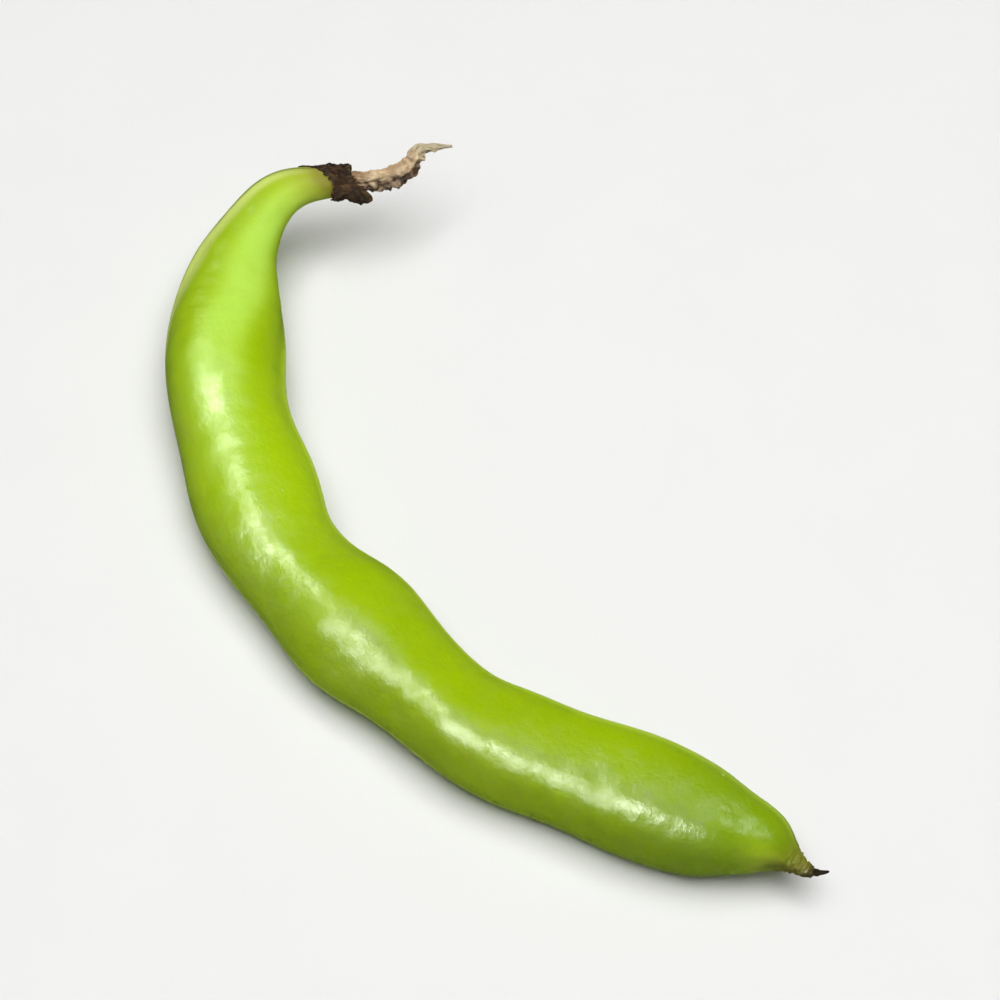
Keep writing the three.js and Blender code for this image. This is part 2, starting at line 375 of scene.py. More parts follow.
def hull_measures(place):
    """The hull's half width from seam to seam and half thickness from valve to valve."""
    grown = soft_steps(JOINT_HALF_WIDTH, WIDENINGS, place)
    beans = [(at, height, BEAN_SPREAD) for at, height in BEANS]
    return grown + swellings(WIDTH_SWELLINGS, place), THICKNESS_SHARE * grown + swellings(beans, place)


def hull_points(place, angle, stand_off=0.0, seam_ridge=SEAM_RIDGE, seam_groove=0.0):
    """An oval section carried along the hull's line and rolled about it, with a raised ridge along
    both seams and a fine groove in the ridge. Angle 0 is the outer seam, on the bow's outside. The
    beak's end is rounded, and what would sink below the surface under the pod is flattened."""
    place, angle = np.broadcast_arrays(place, angle)
    centre, right, up = HULL_LINE.frame(place)
    roll = np.radians(soft_steps(JOINT_ROLL, ROLLS, place))[..., None]
    seam_way = right * np.cos(roll) + up * np.sin(roll)
    valve_way = up * np.cos(roll) - right * np.sin(roll)
    half_width, half_thickness = hull_measures(place)
    past = np.clip((place - HULL_TO + BEAK_ROUND) / BEAK_ROUND, 0, 1)
    rounding = np.sqrt(1 - past**2)
    ridge = np.minimum(seam_ridge, SEAM_SHARE * half_width)
    across = half_thickness * np.sin(angle)
    crest = ridge * band(across, SEAM_HALF_WIDTH) - seam_groove * band(across, GROOVE_HALF_WIDTH)
    flank = 1 - soft_steps(FLANK_FLATNESS, FLANKS, place) * np.sin(2 * angle) ** 2
    wide = (half_width - ridge + stand_off) * flank * np.cos(angle) + np.sign(np.cos(angle)) * crest
    thick = (half_thickness + stand_off) * flank * np.sin(angle)
    points = centre + seam_way * (wide * rounding)[..., None] + valve_way * (thick * rounding)[..., None]
    points[..., 2] = np.maximum(points[..., 2], 0)
    return points


def outward(points):
    """The normals of a grid of rings: the turn round the ring crossed with the way along it."""
    around = np.roll(points, -1, axis=1) - np.roll(points, 1, axis=1)
    along = np.gradient(points, axis=0)
    normal = np.cross(along, around)
    return normal / np.maximum(np.linalg.norm(normal, axis=-1, keepdims=True), 1e-12)


def shares(count):
    """Evenly spread shares from 0 to 1."""
    return np.linspace(0, 1, count)


def turns(count):
    """Evenly spread angles once round."""
    return 2 * np.pi * np.arange(count) / count


# Meshes


def closed_skin(name, rings, first, last, along, masks):
    """Skins rings of points into a closed mesh between a single point at either end. Its map holds
    the place along the piece in metres and the share of a turn round it. The masks become values
    on the points, and the end points take their nearest ring's mean."""
    rows, sides = rings.shape[:2]
    points = np.concatenate([[first], rings.reshape(-1, 3), [last]]) * MM + SHIFT
    number = 1 + np.arange(rows * sides).reshape(rows, sides)
    beside = np.roll(number, -1, axis=1)
    quads = np.stack([number[:-1], number[1:], beside[1:], beside[:-1]], axis=-1).reshape(-1, 4)
    start_fan = np.stack([np.zeros(sides, int), number[0], beside[0]], axis=-1)
    end_fan = np.stack([beside[-1], number[-1], np.full(sides, rows * sides + 1)], axis=-1)
    corners = np.concatenate([quads.ravel(), start_fan.ravel(), end_fan.ravel()])
    starts = np.concatenate([4 * np.arange(len(quads)), 4 * len(quads) + 3 * np.arange(2 * sides)])
    mesh = bpy.data.meshes.new(name)
    mesh.vertices.add(len(points))
    mesh.vertices.foreach_set("co", points.astype(np.float32).ravel())
    mesh.loops.add(len(corners))
    mesh.loops.foreach_set("vertex_index", corners.astype(np.int32))
    mesh.polygons.add(len(starts))
    mesh.polygons.foreach_set("loop_start", starts.astype(np.int32))
    mesh.update(calc_edges=True)
    mesh.polygons.foreach_set("use_smooth", np.ones(len(starts), bool))
    share = np.arange(sides) / sides
    step = 1 / sides
    near, far, low, high = np.broadcast_arrays(along[:-1, None], along[1:, None], share, share + step)
    on_quads = np.stack([near, low, far, low, far, high, near, high], axis=-1).ravel()
    start, end = np.full(sides, along[0]), np.full(sides, along[-1])
    on_start = np.stack([start, share + step / 2, start, share, start, share + step], axis=-1)
    on_end = np.stack([end, share + step, end, share, end, share + step / 2], axis=-1)
    spread = np.concatenate([on_quads, on_start.ravel(), on_end.ravel()])
    spread[0::2] *= MM
    mesh.uv_layers.new(name="skin").data.foreach_set("uv", spread.astype(np.float32))
    for mask, values in masks.items():
        values = np.broadcast_to(values, (rows, sides))
        whole = np.concatenate([[values[0].mean()], values.ravel(), [values[-1].mean()]])
        layer = mesh.attributes.new(mask, "FLOAT", "POINT")
        layer.data.foreach_set("value", whole.astype(np.float32))
    mesh.validate()
    return mesh


def add_piece(name, mesh, material, node):
    """Puts a mesh into the scene as a piece that rides on the body and stands for a CAD node."""
    mesh.materials.append(material)
    piece = bpy.data.objects.new(name, mesh)
    bpy.context.scene.collection.objects.link(piece)
    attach(piece, "root")
    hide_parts(node)
    return piece


# Shader nodes


def add(tree, kind, settings=None, inputs=None):
    """Adds a node with its settings, and gives its inputs a value or a link."""
    node = tree.nodes.new(kind)
    for key, value in (settings or {}).items():
        setattr(node, key, value)
    for key, value in (inputs or {}).items():
        if isinstance(value, bpy.types.NodeSocket):
            tree.links.new(value, node.inputs[key])
        elif node.inputs[key].type == "RGBA" and len(value) == 3:
            node.inputs[key].default_value = (*value, 1)
        else:
            node.inputs[key].default_value = value
    return node


def maths(tree, operation, first, second=0.0, third=0.0):
    """One sum on values."""
    return add(tree, "ShaderNodeMath", {"operation": operation}, {0: first, 1: second, 2: third}).outputs[0]


def blend(tree, factor, first, second):
    """Two colours blended by a factor."""
    return add(tree, "ShaderNodeMix", {"data_type": "RGBA"}, {0: factor, 6: first, 7: second}).outputs[2]


def between(tree, value, low, high, to_low=0.0, to_high=1.0):
    """A value carried smoothly from one range to another."""
    inputs = {0: value, 1: low, 2: high, 3: to_low, 4: to_high}
    return add(tree, "ShaderNodeMapRange", {"interpolation_type": "SMOOTHSTEP"}, inputs).outputs[0]


def noise(tree, vector, scale, detail=3.0, roughness=0.5, distortion=0.0):
    """Soft random values between 0 and 1."""
    inputs = {"Vector": vector, "Scale": scale, "Detail": detail, "Roughness": roughness}
    return add(tree, "ShaderNodeTexNoise", None, {**inputs, "Distortion": distortion}).outputs[0]


def cells(tree, vector, scale, feature):
    """How far each point is from the middle or the edge of its own random cell."""
    inputs = {"Vector": vector, "Scale": scale}
    return add(tree, "ShaderNodeTexVoronoi", {"feature": feature}, inputs).outputs[0]


def mask(tree, name):
    """A value kept on the piece's points."""
    return add(tree, "ShaderNodeAttribute", {"attribute_name": name}).outputs["Fac"]


def new_group(name, inputs, outputs):
    """An empty node group with its sockets, given as name: kind and starting value."""
    group = bpy.data.node_groups.new(name, "ShaderNodeTree")
    for label, (kind, value) in inputs.items():
        socket = group.interface.new_socket(label, in_out="INPUT", socket_type=kind)
        if value is not None:
            socket.default_value = value
    for label, kind in outputs.items():
        group.interface.new_socket(label, in_out="OUTPUT", socket_type=kind)
    return group, group.nodes.new("NodeGroupInput"), group.nodes.new("NodeGroupOutput")


def mottle_group():
    """Plant colour that wanders between two shades: broad clouds with finer specks in them."""
    group, ins, outs = new_group(
        "plant_mottle",
        {
            "Vector": ("NodeSocketVector", None),
            "Shade": ("NodeSocketColor", (0.3, 0.5, 0.1, 1)),
            "Other shade": ("NodeSocketColor", (0.2, 0.4, 0.1, 1)),
            "Scale": ("NodeSocketFloat", 60.0),
            "Fine share": ("NodeSocketFloat", 0.3),
        },
        {"Color": "NodeSocketColor", "Mask": "NodeSocketFloat"},
    )
    broad = noise(group, ins.outputs["Vector"], ins.outputs["Scale"], 2.0)
    fine_scale = maths(group, "MULTIPLY", ins.outputs["Scale"], 9.0)
    fine = noise(group, ins.outputs["Vector"], fine_scale, 4.0, 0.6)
    both = add(
        group, "ShaderNodeMix", {"data_type": "FLOAT"}, {0: ins.outputs["Fine share"], 2: broad, 3: fine}
    ).outputs[0]
    cloud = between(group, both, 0.36, 0.64)
    colour = blend(group, cloud, ins.outputs["Shade"], ins.outputs["Other shade"])
    group.links.new(colour, outs.inputs["Color"])
    group.links.new(cloud, outs.inputs["Mask"])
    return group


def fibre_group():
    """Fine lines drawn out along one way of a piece's own map, broken and uneven in height."""
    group, ins, outs = new_group(
        "plant_fibre",
        {
            "Vector": ("NodeSocketVector", None),
            "Along": ("NodeSocketFloat", 60.0),
            "Around": ("NodeSocketFloat", 30.0),
            "Unevenness": ("NodeSocketFloat", 0.4),
        },
        {"Height": "NodeSocketFloat"},
    )
    parts = add(group, "ShaderNodeSeparateXYZ", None, {0: ins.outputs["Vector"]})
    turn = maths(group, "MULTIPLY", parts.outputs[1], 2 * np.pi)
    x = maths(group, "MULTIPLY", parts.outputs[0], ins.outputs["Along"])
    y = maths(group, "MULTIPLY", maths(group, "COSINE", turn), ins.outputs["Around"])
    z = maths(group, "MULTIPLY", maths(group, "SINE", turn), ins.outputs["Around"])
    wrapped = add(group, "ShaderNodeCombineXYZ", None, {0: x, 1: y, 2: z}).outputs[0]
    fine = noise(group, wrapped, 1.0, 5.0, 0.62, ins.outputs["Unevenness"])
    lines = between(group, fine, 0.3, 0.7)
    group.links.new(lines, outs.inputs["Height"])
    return group


GROUPS = {"plant_mottle": mottle_group, "plant_fibre": fibre_group}


def placed(tree, name, inputs):
    """A shared node group, built when it is first asked for, placed with a material's own values."""
    if name not in bpy.data.node_groups:
        GROUPS[name]()
    return add(tree, "ShaderNodeGroup", {"node_tree": bpy.data.node_groups[name]}, inputs).outputs


def mottled(tree, body, shade, other, scale, fine_share):
    """Colour that wanders between two shades, and the mask that says where."""
    inputs = {"Vector": body, "Shade": shade, "Other shade": other, "Scale": scale}
    outputs = placed(tree, "plant_mottle", {**inputs, "Fine share": fine_share})
    return outputs["Color"], outputs["Mask"]


def fine_lines(tree, own, along, around, uneven):
    """The height of fine lines, more broken up the higher the number along, and closer together
    the higher the number around."""
    inputs = {"Vector": own, "Along": along, "Around": around, "Unevenness": uneven}
    return placed(tree, "plant_fibre", inputs)["Height"]


def new_material(name, settings):
    """A material with a Principled shader whose plain values are set on its own sockets."""
    material = bpy.data.materials.new(name)
    material.use_nodes = True
    tree = material.node_tree
    shader = tree.nodes["Principled BSDF"]
    for key, value in settings.items():
        shader.inputs[key].default_value = value
    return material, tree, shader


def places(tree):
    """The place on the piece in metres, and the piece's own map."""
    coords = add(tree, "ShaderNodeTexCoord")
    return coords.outputs["Object"], coords.outputs["UV"]


def feed(tree, shader, patterns):
    """Links patterns to the shader's sockets."""
    for socket, pattern in patterns.items():
        tree.links.new(pattern, shader.inputs[socket])


def bump(tree, height, distance, strength=1.0, normal=None):
    """Relief from a height pattern, on top of an earlier one if it is given."""
    inputs = {"Height": height, "Distance": distance, "Strength": strength}
    if normal is not None:
        inputs["Normal"] = normal
    return add(tree, "ShaderNodeBump", None, inputs).outputs[0]


# Settings


def colour_property(name, description, red, green, blue):
    """A colour that a user may change, given as seen on a screen."""
    return FloatVectorProperty(
        name=name,
        description=description,
        subtype="COLOR",
        size=3,
        min=0,
        max=1,
        default=from_screen(red, green, blue),
    )


def length_property(name, description, millimetres):
    """A small length that a user may change."""
    return FloatProperty(
        name=name, description=description, unit="LENGTH", precision=5, min=0, default=millimetres * MM
    )


def power_property(name, description, watts):
    """A light's power that a user may change."""
    return FloatProperty(name=name, description=description, unit="POWER", min=0, default=watts)


class PodSettings(bpy.types.PropertyGroup):
    """The hull's colours and fine relief"""

    skin: colour_property("Skin", "The green of the valves", 130, 160, 0)
    skin_light: colour_property("Lighter skin", "The paler green it wanders to", 143, 172, 0)
    # Partly younger skin, partly painted light that makes the neck's half lighter where more light falls
    young: colour_property("Younger skin", "The lighter green towards the neck", 154, 188, 4)
    # Partly paler skin, partly a painted broad sheen down the valve's middle
    pale: colour_property("Pale middle", "The pale green down a young valve's middle", 176, 216, 80)
    strip: colour_property("Strip", "The strong green beside the seams of the young part", 142, 174, 0)
    # Partly riper skin, partly painted shade towards the beak
    ripe: colour_property("Riper skin", "The darker green towards the beak", 119, 150, 0)
    neck: colour_property("Neck", "The pale green next to the calyx", 186, 208, 68)
    joint: colour_property("Joint", "The olive tan end of the neck next to the calyx", 126, 116, 38)
    seam: colour_property("Seam", "The greyish ridge along both seams", 196, 210, 112)
    # Painted shade in the seam's groove and beside its ridge
    seam_line_shade: colour_property("Seam line", "The dark line in a seam's groove", 104, 118, 46)
    near_beak: colour_property("Near the beak", "The yellower green before the beak", 176, 197, 48)
    beak: colour_property("Beak", "The olive end of the hull", 108, 104, 30)
    # Partly browned skin, partly painted shade on the beak's lower side
    beak_low: colour_property("Beak's underside", "The browned outer seam of the beak", 66, 54, 22)
    beak_tip: colour_property("Beak's tip", "The dried end of the beak", 52, 38, 20)
    speck: colour_property("Speck", "Small pale scars", 196, 198, 128)
    seam_height: length_property("Seam height", "How far the seams stand out", 0.5)
    seam_groove: length_property("Seam groove", "How deep the groove in a seam is", 0.22)
    dents: length_property("Dents", "How deep the broad unevenness is", 0.11)
    wrinkles: length_property("Wrinkles", "How deep the wrinkles across the hull are", 0.01)
    beak_relief: length_property("Beak relief", "How rough the beak is", 0.14)


class CalyxSettings(bpy.types.PropertyGroup):
    """The withered calyx's colours and shape"""

    dark: colour_property("Dark", "Most of the withered leaf", 30, 17, 6)
    brown: colour_property("Brown", "Its lighter, drier places", 92, 66, 40)
    rim: colour_property("Rim", "Its torn, straw-coloured rim", 126, 108, 58)
    thickness: length_property("Thickness", "How thick the leaf is", 0.4)
    crumple: length_property("Crumple", "How deep its folds are", 0.26)


class StalkSettings(bpy.types.PropertyGroup):
    """The dry stalk's colours and fibres"""

    tan: colour_property("Tan", "The dry outside", 192, 160, 118)
    pale: colour_property("Pale", "Its bleached ridges", 226, 202, 164)
    wisp: colour_property("Wisp", "Its greyish thin end", 192, 180, 148)
    # Dry brown, and painted shade in the deep creases
    crease: colour_property("Crease", "The brown creases between its ridges", 108, 78, 50)
    # Partly torn fibres, partly painted shade on the stalk's lower side
    under: colour_property("Torn side", "The dark torn underside", 64, 44, 29)
    fibres: length_property("Fibres", "How deep the shrivelled ridges are", 0.16)


class StyleSettings(bpy.types.PropertyGroup):
    """The dry point's colours"""

    black: colour_property("Black", "The dried point", 34, 26, 11)
    brown: colour_property("Brown", "Its base", 86, 67, 33)


class StageSettings(bpy.types.PropertyGroup):
    """The floor, the lights and the camera"""

    floor: colour_property("Floor", "The pale surface under the pod", 218, 218, 217)
    key: power_property("Main light", "The large soft light", 17.6)
    left: power_property("Left panel", "Its shine on the skin", 17.0)
    left_core: power_property("Left core", "Its shine on the skin", 7.0)
    near: power_property("Near panel", "Its shine on the skin", 86.0)
    near_core: power_property("Near core", "Its shine on the skin", 14.0)
    far: power_property("Far panel", "Its shine on the skin", 4.0)
    room: FloatProperty(name="Room", description="The even light from all round", default=0.07, min=0)
    lens: FloatProperty(name="Lens", description="The focal length in millimetres", default=120.0)


# Pieces


def hull_shift():
    """How far the formulas' shapes are moved across the floor so that the pod's outline is centred on the
    CAD pod's box.
    """
    place = np.linspace(HULL_FROM, HULL_TO, 400)[:, None]
    rough = hull_points(place, turns(64)[None, :]).reshape(-1, 3) * MM
    low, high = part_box("pod")
    wanted = (np.array(low) + np.array(high)) / 2
    shift = wanted - (rough.min(0) + rough.max(0)) / 2
    shift[2] = 0
    return shift


SHIFT = hull_shift()


def make_pod(settings):
    """The hull: rings close together towards its ends and points close together at its seams, moved
    along their normals by dents and by fine wrinkles that lie across the hull, mostly between the
    beans. The wax shines less where the hull faces sideways or down."""
    share = shares(HULL_RINGS)
    crowded = share - END_CROWDING * np.sin(2 * np.pi * share) / (2 * np.pi)
    round_from = HULL_TO - BEAK_ROUND
    body = HULL_FROM + (round_from - HULL_FROM) * crowded
    along = np.concatenate([body, round_from + BEAK_ROUND * np.sin(np.radians(BEAK_ROUND_RINGS))])
    place = along[:, None]
    turn = turns(HULL_SIDES)[None, :]
    angle = turn - SEAM_CROWDING * np.sin(2 * turn) / 2
    half_width, half_thickness = hull_measures(place)
    groove = np.minimum(settings.seam_groove / MM, GROOVE_SHARE * half_width)
    points = hull_points(place, angle, 0.0, settings.seam_height / MM, groove)
    off_seam = 1 - band(half_thickness * np.sin(angle), SEAM_CLEAR)
    full = np.clip((half_width - THIN_HALF_WIDTH) / (FULL_HALF_WIDTH - THIN_HALF_WIDTH), 0, 1)
    dents = unevenness(BROAD_DENTS, place, angle)
    dents = dents + SMALL_DENTS_SHARE * unevenness(SMALL_DENTS, place, angle)
    on_beans = swellings([(at + BEAN_FRONT, 1, BEAN_FRONT_SPREAD) for at, _ in BEANS], place)
    between_beans = 1 - np.clip(on_beans, 0, 1)
    patches = np.clip(0.5 + PATCH_CONTRAST * unevenness(WRINKLED_PATCHES, place, angle), 0, 1)
    wrinkles = unevenness(WRINKLES, place, angle) * (WRINKLES_EVERYWHERE + between_beans) * patches
    relief = full * off_seam * (settings.dents / MM * dents + settings.wrinkles / MM * wrinkles)
    rough = settings.beak_relief / MM * unevenness(BEAK_ROUGHNESS, place, angle)
    relief = relief + rough * soft_steps(0, ROUGH_BEAK, place)
    points = points + outward(points) * relief[..., None]
    points[..., 2] = np.maximum(points[..., 2], 0)
    masks = hull_masks(place, angle)
    masks["shine"] = masks["shine"] * soft_steps(*SHINE_UPWARDS, outward(points)[..., 2])
    first, last = HULL_LINE.at(np.array([HULL_FROM, HULL_TO]))
    return closed_skin("pod_skin", points, first, last, along, masks)


def hull_masks(place, angle):
    """Where the hull's colours lie, each from 0 to 1. Along the line they come and go in soft steps,
    and round the section they follow the height above the seams or the way from seam to seam."""
    half_thickness = hull_measures(place)[1]
    height = np.abs(half_thickness * np.sin(angle))
    seamwards = np.cos(angle)
    outer = seamwards > 0
    outer_seam = outer * band(height, soft_steps(*OUTER_SEAM_SHARE, place) * half_thickness, 6)
    inner_seam = ~outer * band(height, np.minimum(INNER_SEAM_WIDTH, INNER_SEAM_SHARE * half_thickness), 4)
    # Painted shade in the outer seam's groove and beside the seams' ridge
    groove = outer * band(height, GROOVE_SHADE_WIDTH) * soft_steps(*GROOVE_SHADE, place)
    beside = band(height - SIDE_SHADE_AT, SIDE_SHADE_WIDTH) * soft_steps(*SIDE_SHADE, place)
    valve = soft_steps(*YOUNG_VALVE, place)
    # The pale middle: partly paler skin, partly a painted broad sheen
    pale = band(seamwards - soft_steps(*PALE_MIDDLE, place), soft_steps(*PALE_HALF_WIDTH, place), 4)
    # Darker on the outer side: partly browned skin, partly painted shade
    browned_and_shaded = np.clip(BROWNED_AND_SHADED_LEVEL + BROWNED_AND_SHADED_SLOPE * seamwards, 0, 1)
    masks = {name: soft_steps(*steps, place) for name, steps in ALL_ROUND.items()}
    return masks | {
        "seams": outer_seam * soft_steps(*OUTER_SEAM, place) + inner_seam * soft_steps(*INNER_SEAM, place),
        "groove": groove + beside,
        "joint": soft_steps(*JOINT, place - JOINT_SLANT * seamwards),
        "shine": soft_steps(*SHINE, place) * (SHINE_MEAN + swellings(SHINE_SWELLINGS, place)),
        "pale": pale * valve,
        "strip": (1 - pale) * valve * np.where(outer, 1, soft_steps(*INNER_STRIP, place)),
        "near_beak": swellings([BEFORE_BEAK], place) * soft_steps(*UPPER_SIDE, seamwards),
        "beak_low": soft_steps(*BEAK_LOW, place) * browned_and_shaded,
    }


def pod_material(settings):
    """Waxy green skin: see skin_colour for its colours. Soft blotches, a net of veins, scars and
    pores stand on the wax as relief, with a few wrinkles across in the skin below it. The wax is a
    coat, which shines as the shine mask says, in patches."""
    material, tree, shader = new_material(
        "pod_skin",
        {
            "IOR": 1.45,
            "Specular IOR Level": 0.12,
            "Coat Roughness": 0.31,
            "Coat IOR": 1.5,
            "Subsurface Weight": 0.12,
            "Subsurface Radius": (0.6, 1.0, 0.15),
            "Subsurface Scale": 0.0025,
        },
    )
    body, own = places(tree)
    few = between(tree, noise(tree, body, 60.0, 2.0), 0.6, 0.66)
    specks = maths(tree, "MULTIPLY", between(tree, cells(tree, body, 150.0, "F1"), 0.07, 0.03), few)
    lines = fine_lines(tree, own, along=90.0, around=34.0, uneven=0.3)
    streaks = between(tree, lines, 0.1, 0.8, 0.72, 1.0)
    across = fine_lines(tree, own, along=900.0, around=2.2, uneven=0.6)
    here = between(tree, noise(tree, body, 60.0, 2.0), 0.42, 0.62)
    wrinkles = maths(tree, "MULTIPLY", across, here)
    veins = between(tree, cells(tree, body, 260.0, "DISTANCE_TO_EDGE"), 0.0, 0.16)
    wax = bump(tree, noise(tree, body, 620.0, 3.0, 0.6), distance=0.0003, strength=0.45)
    wax = bump(tree, veins, distance=0.00005, strength=0.12, normal=wax)
    wax = bump(tree, specks, distance=0.0001, strength=0.8, normal=wax)
    wax = bump(tree, noise(tree, body, 2600.0, 3.0), distance=0.00003, strength=0.45, normal=wax)
    rough = between(tree, noise(tree, body, 180.0, 4.0), 0.3, 0.7, 0.25, 0.35)
    for name, more in (("seams", 0.12), ("young", 0.08), ("beak", 0.2)):
        rough = maths(tree, "MULTIPLY_ADD", mask(tree, name), more, rough)
    bloom = between(tree, noise(tree, body, 250.0, 5.0, 0.66), 0.36, 0.64, 0.4, 1.5)
    feed(tree, shader, {
        "Base Color": skin_colour(tree, settings, body, specks, streaks),
        "Coat Normal": wax,
        "Normal": bump(tree, wrinkles, distance=0.0001, strength=0.14, normal=wax),
        "Roughness": rough,
        "Coat Weight": maths(tree, "MULTIPLY", mask(tree, "shine"), bloom),
    })
    return material


def skin_colour(tree, settings, body, specks, streaks):
    """Clouds of two greens, then one tint over another: lighter towards the neck, partly as painted
    light; pale down the valve's middle there, partly as a painted broad sheen, and a strong green
    beside its seams; darker towards the beak, partly as painted shade; pale seams with a dark groove
    line of painted shade; a tan joint; an olive beak whose browned underside is partly painted
    shade; and a few pale scars."""
    colour, _ = mottled(tree, body, settings.skin, settings.skin_light, scale=38.0, fine_share=0.22)
    patchy = between(tree, noise(tree, body, 300.0, 4.0, 0.6), 0.3, 0.62)
    cloudy = between(tree, noise(tree, body, 130.0, 3.0, 0.55), 0.25, 0.6, 0.7, 1.0)
    tints = (
        ("young", 1.0, None, settings.young),
        ("strip", 0.85, cloudy, settings.strip),
        ("pale", 0.9, cloudy, settings.pale),
        ("ripe", 1.0, None, settings.ripe),
        ("neck", 0.9, None, settings.neck),
        ("seams", 1.0, streaks, settings.seam),
        ("groove", 1.0, streaks, settings.seam_line_shade),
        ("joint", 0.9, None, settings.joint),
        ("near_beak", 0.55, cloudy, settings.near_beak),
        ("beak", 1.0, cloudy, settings.beak),
        ("beak_low", 0.85, patchy, settings.beak_low),
        ("beak_tip", 0.9, None, settings.beak_tip),
    )
    for name, share, pattern, tint in tints:
        amount = maths(tree, "MULTIPLY", mask(tree, name), share)
        amount = maths(tree, "MULTIPLY", amount, pattern) if pattern else amount
        colour = blend(tree, amount, colour, tint)
    return blend(tree, maths(tree, "MULTIPLY", specks, 0.7), colour, settings.speck)


def calyx_points(place, angle, skirt, outside, settings):
    """The calyx's wall: it follows the neck in front of its floor and flares round the stalk behind
    it, where its lip is drawn in. The outside stands off by the leaf's thickness and by its folds,
    and the sepals' tips lie nearer to the neck and are thinner."""
    folds = waves(CALYX_WAVES, place, angle) + FOLDS_SHARE * unevenness(CALYX_FOLDS, place, angle)
    thick = outside * np.maximum((settings.thickness + settings.crumple * folds) / MM, LEAF_LEAST)
    tips = soft_steps(*SEPAL_TIPS, place)
    on_neck = hull_points(place, angle, GAP * (1 - TIP_NEARER * tips) + thick * (1 - TIP_THINNER * tips))
    lip = np.clip((place - skirt) / LIP_LENGTH, 0, 1)
    drawn_in = LIP_DRAWN_IN * (1 - np.sqrt(lip * (2 - lip)))
    radius = SKIRT_RADIUS + SKIRT_FLARE * np.maximum(CALYX_BACK - place, 0) + thick - drawn_in
    on_stalk = HULL_LINE.around(place, angle + np.radians(JOINT_ROLL), radius)
    return np.where((place >= CALYX_FRONT)[..., None], on_neck, on_stalk)


def make_calyx(settings):
    """The calyx: rings run from its floor's back along the skirt's inside, round its lip, forward
    along the outside, round the sepals' lip and back inside to the floor's front. Both lips are
    torn by seeded waves."""
    angle = turns(CALYX_SIDES)[None, :]
    teeth = TEETH_LENGTH * unevenness(TEETH, 0.0, angle)
    skirt_tears = 1 + TEARS_SHARE * unevenness(SKIRT_TEARS, 0.0, angle)
    sepal_tears = 1 + TEARS_SHARE * unevenness(SEPAL_TEARS, 0.0, angle)
    skirt = np.minimum(SKIRT_LIP - lobes(SKIRT_LOBES, angle) * skirt_tears + teeth, CALYX_BACK - SKIRT_LEAST)
    sepal = SEPAL_LIP + lobes(SEPALS, angle) * sepal_tears + teeth
    walls = [(CALYX_BACK, skirt, False), (skirt, sepal, True), (sepal, CALYX_FRONT, False)]
    places_there, points_there = [], []
    for (start, end, outside), count in zip(walls, CALYX_RINGS):
        share = shares(count)[:, None]
        places_there.append(start * (1 - share) + end * share)
        points_there.append(calyx_points(places_there[-1], angle, skirt, outside, settings))
    place = np.concatenate(places_there)
    edge = np.minimum(place - skirt, sepal - place)
    masks = {"rim": band(edge, RIM_WIDTH), "low": lobes([CALYX_DRY_SIDE], angle)}
    along = np.concatenate([[0], np.cumsum(np.abs(np.diff(place.mean(1))))])
    first, last = HULL_LINE.at(np.array([CALYX_BACK, CALYX_FRONT]))
    return closed_skin("calyx_leaf", np.concatenate(points_there), first, last, along, masks)


def calyx_material(settings):
    """Withered leaf: near black with drier brown places, a torn straw rim, and veins along it."""
    material, tree, shader = new_material("calyx_leaf", {"IOR": 1.4, "Specular IOR Level": 0.14})
    body, own = places(tree)
    _, leaf = mottled(tree, body, settings.dark, settings.brown, scale=260.0, fine_share=0.35)
    streaks = fine_lines(tree, own, along=330.0, around=7.0, uneven=0.9)
    dry = maths(tree, "MULTIPLY", between(tree, streaks, 0.35, 1.0), leaf)
    dry = maths(tree, "MULTIPLY_ADD", mask(tree, "low"), 0.35, dry)
    colour = blend(tree, dry, settings.dark, settings.brown)
    torn = between(tree, noise(tree, body, 700.0, 3.0), 0.5, 0.66)
    rim = maths(tree, "MULTIPLY", mask(tree, "rim"), torn)
    veins = fine_lines(tree, own, along=260.0, around=9.0, uneven=0.6)
    normal = bump(tree, veins, distance=0.0003, strength=0.7)
    normal = bump(tree, noise(tree, body, 1500.0, 4.0), distance=0.0001, strength=0.6, normal=normal)
    feed(tree, shader, {
        "Base Color": blend(tree, maths(tree, "MULTIPLY", rim, 0.5), colour, settings.rim),
        "Normal": normal,
        "Roughness": between(tree, leaf, 0.0, 1.0, 0.5, 0.85),
    })
    return material


def stalk_line():
    """The line that the stalk follows from the calyx's floor."""
    start = HULL_LINE.at(np.array([CALYX_BACK - GAP]))[0]
    return Line(
        start[:2],
        STALK_LENGTH,
        lambda place: soft_steps(JOINT_HEADING + 180, STALK_BENDS, place),
        lambda place: soft_steps(start[2], STALK_CLIMBS, place),
    )


